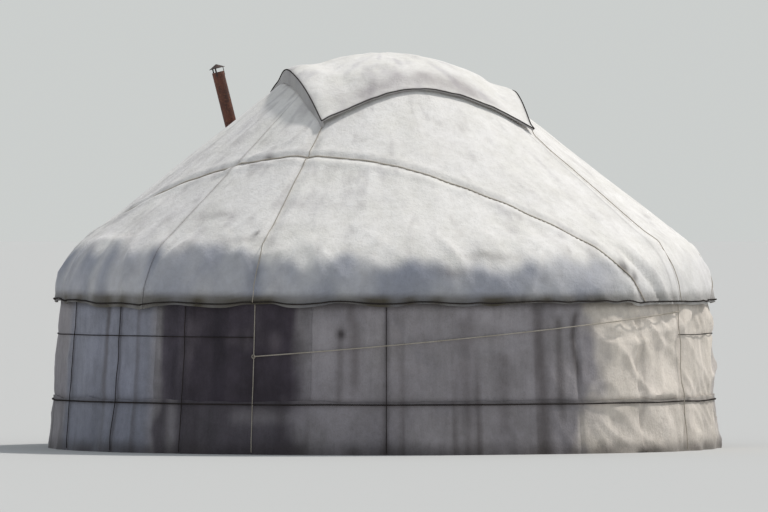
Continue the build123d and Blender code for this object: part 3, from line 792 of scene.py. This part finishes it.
def crown_point(p, q):
    """Points of the crown felt's outer face, and its outward direction, from places on the flat square"""
    over = np.clip(-CROWN_HALF - p, 0, None)
    p = np.clip(p, -CROWN_HALF, None)
    x, y = crown_place(p, q)
    height, slant = crown_surface(x, y)
    a = np.degrees(np.arctan2(x, -y))
    lift = CROWN_THICK + 0.004 + 0.006 * noise(a, np.hypot(x, y), 26, 2.5, 71)
    lift = lift + 0.004 * noise(p * 120, q + 5, 40, 5, 72)
    tented = (0.2 + 0.8 * smooth(q, 0.4, -0.15)) * (0.25 + 0.75 * smooth(q, -CROWN_HALF, -0.55))
    lift = lift + 0.1 * smooth(p, -CROWN_HALF + 0.34, -CROWN_HALF) * tented
    over = over * (0.35 + 0.65 * tented)
    lift = lift + 0.085 * smooth(p, CROWN_HALF - 0.2, CROWN_HALF) * bell(q + 0.3, 0.42)
    lift = lift + 0.014 * smooth(np.abs(q), CROWN_HALF - 0.1, CROWN_HALF)
    r = np.maximum(np.hypot(x, y), 1e-6)
    out = np.stack([np.sin(slant) * x / r, np.sin(slant) * y / r, np.cos(slant)], axis=-1)
    points = np.stack([x, y, height], axis=-1) + out * lift[..., None]
    points[..., 2] -= over
    return points, out, a


def crown_cloth():
    """Square crown felt, its left edge folded down and its right edge puffed up"""
    folded = np.linspace(-CROWN_HALF - CROWN_FOLD, -CROWN_HALF, 5)[:-1]
    flat = np.linspace(-CROWN_HALF, CROWN_HALF, 90)
    p, q = np.meshgrid(np.concatenate([folded, flat]), flat, indexing="ij")
    outer, out, a = crown_point(p, q)
    side = np.array([-cos(CROWN_TURN), -sin(CROWN_TURN), 0.0])
    share = smooth(p, -CROWN_HALF + 0.02, -CROWN_HALF - 0.02)[..., None]
    way = out * (1 - share) + side * share
    inner = outer - unit(way) * CROWN_THICK
    colour = linear(245, 242, 238)
    grime = smooth(noise(a, np.hypot(p, q), 60, 4, 73) + 0.5 * noise(p * 90, q + 3, 64, 9, 74), 0.1, 1.2)
    colour = mix(colour, linear(196, 192, 196), 0.45 * grime)
    # Darker band just inside the front edge
    front = bell(q + CROWN_HALF - 0.12, 0.13) * smooth(p, -0.95, -0.5) * (1 - smooth(p, 0.3, 0.9))
    darker_front_band = 0.7 * front * (0.62 + 0.38 * noise(p * 80, q + 2, 40, 9, 75))
    colour = mix(colour, linear(142, 130, 138), darker_front_band)
    # Painted shade: the edges and the folded-down left face painted darker
    edge = smooth(np.maximum(np.abs(q), np.abs(p)), CROWN_HALF - 0.03, CROWN_HALF)
    colour = mix(colour, linear(120, 118, 122), 0.6 * edge)
    cloth = shell("crown_cloth", outer, inner, CROWN_FELT, colour)
    keep(cloth, "felt_crown", "crown_felt")


crown_cloth()


# Ropes

def on_roof(a, t, lift, beside=0.0):
    """Points on the roof felt, or on the highest felt within a few degrees, lifted off it"""
    r, z, out, up = roof_point(t)
    swell = np.max([roof_swell(a + step, t) for step in (-beside, 0, beside)], axis=0) + lift
    return place(a, r + out * swell, z + up * swell)


def on_wall(a, z, lift):
    """Points on the wall felt, or on the skirt felt or dark patch that covers it, lifted off it"""
    skirt = smooth(z, SKIRT_TOP + 0.06, SKIRT_TOP + 0.015)
    patch = smooth(near(a, PATCH[0]), -0.6, 0) * smooth(near(a, PATCH[1]), 0.6, 0)
    cover = np.maximum(skirt * (SKIRT_OFFSET + skirt_swell(a, z)), PATCH_OFFSET * patch)
    return place(a, wall_radius(z) + wall_swell(a, z) + cover + lift, z)


def taut(path, reach):
    """A path on the wall drawn tight over the folds under it; reach is in points"""
    windows = np.lib.stride_tricks.sliding_window_view
    r = np.hypot(path[:, 0], path[:, 1])
    high = windows(np.pad(r, reach, mode="edge"), 2 * reach + 1).max(axis=1)
    eased = windows(np.pad(high, reach, mode="edge"), 2 * reach + 1).mean(axis=1)
    return path * np.stack([eased / r, eased / r, np.ones_like(r)], axis=-1)


def upright(azimuth):
    """Path down the wall, tight over the folds beside it too"""
    z = np.linspace(HEM_Z + 0.02, 0.018, 220)
    lift = 0.007 + 0.007 * creased_sunlit_side(azimuth)
    beside = [on_wall(np.full_like(z, azimuth + step), z, lift) for step in (-0.5, 0, 0.5)]
    r = np.max([np.hypot(path[:, 0], path[:, 1]) for path in beside], axis=0)
    return taut(place(azimuth, r, z), 8)


def level(start, end, z, lift):
    """Path round the wall"""
    a = np.linspace(start, end, int((end - start) * 4))
    return taut(on_wall(a, np.full_like(a, z) + 0.004 * noise(a, a * 0, 40, 1, 81), lift), 5)


def level_ropes():
    """Ropes round the hem and round the wall; the upper one stops at the crown felt's corner ropes"""
    a = np.linspace(*FELT_SPAN, 1500)
    t = ROOF_LENGTH - 0.014 + hem_drop(a) * 0.6
    keep(rope("hem_cord", on_roof(a, t, 0.008), ROPE, DARK_ROPE), "rope_dark", "hem_rope")
    girth = level(*FELT_SPAN, LOWER_ROPE_Z, 0.008)
    keep(rope("girth_cord", girth, ROPE, DARK_ROPE), "rope_dark", "lower_wall_rope")
    left = level(FELT_SPAN[0], LEFT_CORNER, UPPER_ROPE_Z, 0.005)
    right = level(RIGHT_CORNER, FELT_SPAN[1], UPPER_ROPE_Z, 0.005)
    upper = [rope("upper_cord", left, THIN_ROPE, DARK_ROPE),
             rope("upper_cord_right", right, THIN_ROPE, DARK_ROPE)]
    keep(join("upper_cords", upper), "rope_dark", "upper_wall_ropes")


def steep_ropes():
    """Upright ropes on the wall, and the ropes from the crown felt's corners down roof and wall"""
    posts = [rope(f"upright_{i}", upright(a), THIN_ROPE, DARK_ROPE) for i, a in enumerate(UPRIGHTS)]
    keep(join("upright_cords", posts), "rope_dark", "upright_ropes")
    walls, roofs = [], []
    for corner, reach in CORNERS:
        walls.append(rope(f"corner_wall_{corner:.0f}", upright(corner), THIN_ROPE, PALE_ROPE))
        t = np.linspace((reach - LAP_R) / cos(SLOPE) - 0.05, ROOF_LENGTH - 0.004, 260)
        lift = 0.009 + 0.03 * smooth(t, t[0] + 0.1, t[0])
        path = on_roof(np.full_like(t, corner), t, lift, 0.6)
        roofs.append(rope(f"corner_roof_{corner:.0f}", path, THIN_ROPE, PALE_ROPE))
    keep(join("corner_cords_wall", walls), "rope_pale", "corner_ropes_wall")
    keep(join("corner_cords_roof", roofs), "rope_pale", "corner_ropes_roof")


def roof_ropes():
    """Ropes over the front and the back of the roof, each in a slanting plane"""
    t = ROOF_ROPE_DOWN + (ROOF_LENGTH - ROOF_ROPE_DOWN) * np.linspace(0, 1, 400) ** 2
    r, z, _, _ = roof_point(t)
    ahead = ROOF_ROPE_R + (z - ROOF_ROPE_TOP) * tan(ROOF_ROPE_LEAN)
    turn = np.degrees(np.arccos(np.clip(ahead / r, -1, 1)))
    slants = []
    for i, azimuth in enumerate(ROOF_ROPE_AZIMUTHS):
        a = np.concatenate([azimuth - turn[:0:-1], azimuth + turn])
        path = on_roof(a, np.concatenate([t[:0:-1], t]), 0.007)
        slants.append(rope(f"slant_{i}", path, ROPE, PALE_ROPE))
    keep(join("slant_cords", slants), "rope_pale", "roof_ropes")


def pale_rope():
    """Slightly slack rope that slants across the front of the wall, with a knot at its left end"""
    a = np.linspace(LEFT_CORNER, RIGHT_CORNER, 400)
    z = PALE_ROPE_Z + (WALL_R * np.sin(np.radians(a))) * tan(PALE_ROPE_LEAN)
    z = z - 0.025 * np.sin((a - a[0]) / (a[-1] - a[0]) * pi)
    path = taut(on_wall(a, z, 0.012 + 0.006 * creased_sunlit_side(a)), 12)
    line = rope("pale_line", path, LINE_ROPE, PALE_ROPE)
    centre = on_wall(a[:1], z[:1], 0.018)[0]
    turns = np.linspace(0, 6 * pi, 90)
    loops = [0.014 * np.cos(turns), -0.007 * np.cos(1.5 * turns), 0.016 * np.sin(turns)]
    knot = rope("pale_knot", centre + np.stack(loops, axis=-1), THIN_ROPE * 0.8, PALE_ROPE)
    keep(join("pale_cord", [line, knot]), "rope_pale", "pale_rope")


def crown_edge_rope():
    """Rope along the crown felt's edge"""
    s = np.linspace(-CROWN_HALF, CROWN_HALF, 160)
    half = np.full_like(s, CROWN_HALF)
    edge = []
    for i, (p, q) in enumerate(((s, -half), (half, s), (s[::-1], half), (-half, s[::-1]))):
        points, out, _ = crown_point(p, q)
        edge.append(rope(f"edge_{i}", points + out * 0.002, LINE_ROPE, DARK_ROPE))
    keep(join("crown_edge_cord", edge), "rope_dark")


level_ropes()
steep_ropes()
roof_ropes()
pale_rope()
crown_edge_rope()


# Wooden frame

def bar_section(width, height, corner, count):
    """Outline of a bar with its corners cut"""
    w, h = width / 2, height / 2
    outline = [(w - corner, -h), (w, -h + corner), (w, h - corner), (w - corner, h),
               (-w + corner, h), (-w, h - corner), (-w, -h + corner), (-w + corner, -h)]
    return np.broadcast_to(np.array(outline), (count, 8, 2))


def section_start(section):
    """Azimuth at which a wall section begins"""
    return 180 + DOOR_LATTICE + section * FORKS * PITCH


def pole_azimuths(section):
    """Azimuths of the poles of one wall section"""
    return [section_start(section) + (i + 0.5) * PITCH for i in range(FORKS)]


def pole(name, azimuth, low_z):
    """Bent roof pole from the lattice's fork, or from the lintel, to the crown ring"""
    t = np.linspace(SLOPE_LENGTH + SHOULDER_LENGTH, 0.02, 34)
    r, z, out, up = roof_point(t)
    r, z = r - out * POLE_DEPTH, z - up * POLE_DEPTH
    foot = np.linspace(POLE_FOOT, 1.385, 4)
    r = np.concatenate([np.full(len(foot), r[0]), r[1:]])
    z = np.concatenate([foot, z[1:]])
    out = np.concatenate([np.ones(len(foot)), out[1:]])
    up = np.concatenate([np.zeros(len(foot)), up[1:]])
    shown = z >= low_z
    r, z, out, up = r[shown], z[shown], out[shown], up[shown]
    if low_z > POLE_FOOT:
        z[0] = low_z
    sections = bar_section(POLE, POLE, 0.005, len(r)).copy()
    sections *= (0.86 + 0.14 * smooth(z, 2.6, 1.6))[:, None, None]
    return sweep(name, place(azimuth, r, z), place(azimuth, out, up), sections, POLE_WOOD, crease=40)


for section in range(SECTIONS):
    poles = [pole(f"pole_{section}_{i}", a, POLE_FOOT) for i, a in enumerate(pole_azimuths(section))]
    keep(join(f"bent_poles_{section + 1}", poles), "wood_poles", f"roof_poles_{section + 1}")
door_pitch = 2 * DOOR_LATTICE / 3
door_azimuths = [180 - DOOR_LATTICE + (i + 0.5) * door_pitch for i in range(3)]
poles = [pole(f"pole_door_{i}", a, LINTEL_HIGH[2] + 0.001) for i, a in enumerate(door_azimuths)]
keep(join("bent_poles_door", poles), "wood_poles", "roof_poles_door")


def lattice(section):
    """One folding wall section: two layers of laths, tied with rawhide where they cross"""
    start = section_start(section)
    limits = (start + SECTION_EDGE, start + FORKS * PITCH - SECTION_EDGE)
    top = LATTICE_TOP - FORK_HEIGHT
    row = (top - FOOT_HEIGHT) / ROWS
    made = []
    for lean, radius in ((1, LATTICE_R - LATH_LAYER), (-1, LATTICE_R + LATH_LAYER)):
        for j in range(-2, FORKS + 2):
            crossing = start + (j + 0.5) * PITCH
            ends = [top + lean * (limit - crossing) / (PITCH / 2) * row for limit in limits]
            z = np.linspace(max(min(ends), 0.009), min(max(ends), LATTICE_TOP - 0.006), 24)
            if z[-1] - z[0] < 0.05:
                continue
            a = crossing + lean * (z - top) / row * PITCH / 2
            path, out = place(a, radius, z), place(a, 1, 0)
            outline = bar_section(*LATH, 0.0038, len(z))
            made.append(sweep(f"lath_{len(made)}", path, out, outline, LATTICE_WOOD, crease=40))
    turn = np.linspace(0, pi, 7)[:, None]
    upwards = np.array([0, 0, 1])
    thong = bar_section(0.007, 0.0035, 0.001, len(turn))
    for k in range(ROWS + 1):
        for j in range(FORKS):
            azimuth = start + (j + 0.5) * PITCH
            inward = place(azimuth, -1, 0)
            path = place(azimuth, LATTICE_R - 0.011, top - k * row)
            path = path + inward * 0.004 * np.sin(turn) + upwards * 0.006 * np.cos(turn)
            out = inward * np.sin(turn) + upwards * np.cos(turn)
            made.append(sweep(f"tie_{k}_{j}", path, out, thong, LATTICE_WOOD, crease=40))
    keep(join(f"tied_lattice_{section + 1}", made), "wood_lattice", f"lattice_wall_{section + 1}")


for section in range(SECTIONS):
    lattice(section)


def base_finish(node, material, bevel):
    """A CAD node that stays, with a better finish and softened edges"""
    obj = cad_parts[node]
    obj.data.materials.clear()
    obj.data.materials.append(material)
    if bevel:
        modifier = obj.modifiers.new("worn_edges", "BEVEL")
        modifier.width = bevel
        modifier.segments = 2
        modifier.limit_method = "ANGLE"
        modifier.angle_limit = radians(40)


base_finish("crown_ring", CROWN_WOOD, 0)
base_finish("crown_spokes", CROWN_WOOD, 0)
for node in ("door_post_left", "door_post_right", "door_lintel", "door_threshold"):
    base_finish(node, DOOR_WOOD, 0.003)
base_finish("stovepipe", PIPE_STEEL, 0)
base_finish("pipe_cap", CAP_STEEL, 0)
base_finish("pipe_collar", PIPE_STEEL, 0)


# Doorway

CURTAIN_LOW, CURTAIN_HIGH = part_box("door_curtain")
CURTAIN_Y = (CURTAIN_LOW[1] + CURTAIN_HIGH[1]) / 2
CURTAIN_Z = (CURTAIN_LOW[2] + CURTAIN_HIGH[2]) / 2
CURTAIN_R = (CURTAIN_HIGH[2] - CURTAIN_LOW[2]) / 2


def rolled_curtain():
    """Felt door curtain rolled up over the doorway, a true spiral of cloth"""
    thick = 0.0095
    turns = np.linspace(0, 2 * pi * 6.2, 330)
    spiral = np.clip(CURTAIN_R - turns / (2 * pi) * (thick + 0.0012), 0.006, None)
    s, across = np.meshgrid(turns, np.linspace(CURTAIN_LOW[0], CURTAIN_HIGH[0], 26), indexing="ij")
    r = np.broadcast_to(spiral[:, None], s.shape)
    r = r + 0.003 * noise(np.degrees(s) / 6, across + 2, 30, 6, 91) * (r > 0.04)
    frayed = np.abs(across) > CURTAIN_HIGH[0] - 0.02
    x = across + 0.004 * noise(np.degrees(s) / 8, across * 0 + 1, 40, 1, 92) * frayed
    angle = s + radians(200)
    centre = np.array([0.0, CURTAIN_Y, CURTAIN_Z])
    ring = np.stack([x, r * np.cos(angle), r * np.sin(angle)], axis=-1) + centre
    inside = np.stack([x, (r - thick) * np.cos(angle), (r - thick) * np.sin(angle)], axis=-1) + centre
    soiled = smooth(noise(np.degrees(s) / 4, across + 4, 60, 8, 93), 0, 1) * 0.7
    colour = mix(linear(205, 198, 190), linear(140, 130, 125), soiled)
    roll = shell("curtain_roll", ring, inside, WALL_FELT, colour)
    keep(roll, "felt_wall", "door_curtain")


def curtain_bands():
    """Two woven bands that hold the roll up, nailed to the lintel"""
    wide, radius = 0.03, CURTAIN_R + 0.003
    angle = np.linspace(radians(195), radians(195 + 355), 60)
    out = np.stack([np.zeros_like(angle), np.cos(angle), np.sin(angle)], axis=-1)
    y, z = CURTAIN_Y + radius * np.cos(angle), CURTAIN_Z + radius * np.sin(angle)
    tab_z = np.linspace(LINTEL_LOW[2] + 0.005, CURTAIN_Z - 0.015, 12)
    tab_y = np.full_like(tab_z, LINTEL_HIGH[1] + 0.002)
    tab_out = np.broadcast_to([0, 1, 0], (len(tab_z), 3))
    bands = []
    for x in (-0.28, 0.28):
        path = np.stack([np.full_like(z, x), y, z], axis=-1)
        section = bar_section(wide, 0.003, 0.001, len(z))
        bands.append(sweep(f"band_{x}", path, out, section, DARK_ROPE))
        tab = np.stack([np.full_like(tab_z, x), tab_y, tab_z], axis=-1)
        section = bar_section(wide, 0.0035, 0.001, len(tab_z))
        bands.append(sweep(f"tab_{x}", tab, tab_out, section, DARK_ROPE))
    keep(join("curtain_bands", bands), "rope_dark", "curtain_straps")


curtain_bands()
rolled_curtain()


# Floor, light and camera

def floor():
    """Plain pale floor"""
    mesh = bpy.data.meshes.new("floor")
    size = 220
    corners = [(-size, -size, 0), (size, -size, 0), (size, size, 0), (-size, size, 0)]
    mesh.from_pydata(corners, [], [(0, 1, 2, 3)])
    material, shader, _, _ = graph("floor", 0.95, 0.1)
    shader.inputs["Base Color"].default_value = (0.56, 0.56, 0.55, 1)
    mesh.materials.append(material)
    obj = add_object("floor", mesh)


def lights():
    """Soft key from the right and behind, and an even pale sky"""
    sun = bpy.data.lights.new("key", "SUN")
    sun.energy = 2.35
    sun.angle = radians(5)
    sun.color = (1, 0.97, 0.93)
    key = add_object("key", sun)
    azimuth, height = radians(119), radians(56)
    towards = Vector((sin(azimuth) * cos(height), -cos(azimuth) * cos(height), sin(height)))
    key.rotation_euler = towards.to_track_quat("Z", "Y").to_euler()
    world = bpy.data.worlds.new("sky")
    bpy.context.scene.world = world
    world.use_nodes = True
    tree = world.node_tree
    back = tree.nodes["Background"]
    back.inputs["Color"].default_value = (0.88, 0.94, 1, 1)
    back.inputs["Strength"].default_value = 0.53
    seen = tree.nodes.new("ShaderNodeBackground")
    seen.inputs["Color"].default_value = (0.6, 0.62, 0.61, 1)
    rays = tree.nodes.new("ShaderNodeLightPath")
    choose = tree.nodes.new("ShaderNodeMixShader")
    tree.links.new(rays.outputs["Is Camera Ray"], choose.inputs[0])
    tree.links.new(back.outputs[0], choose.inputs[1])
    tree.links.new(seen.outputs[0], choose.inputs[2])
    tree.links.new(choose.outputs[0], tree.nodes["World Output"].inputs["Surface"])


def camera():
    """Long lens from the front, a little higher than the eaves, as the photograph was taken"""
    lens = bpy.data.cameras.new("camera")
    far, high, aim, wide = 125.0, 2.9, 1.72, 6.9
    lens.sensor_width = 36
    lens.lens = 36 * far / wide
    lens.clip_end = 1000
    eye = add_object("camera", lens)
    eye.location = (0, -far, high)
    eye.rotation_euler = (Vector((0, 0, aim)) - eye.location).to_track_quat("-Z", "Y").to_euler()
    bpy.context.scene.camera = eye


floor()
lights()
camera()
bpy.context.scene.view_settings.view_transform = "Standard"
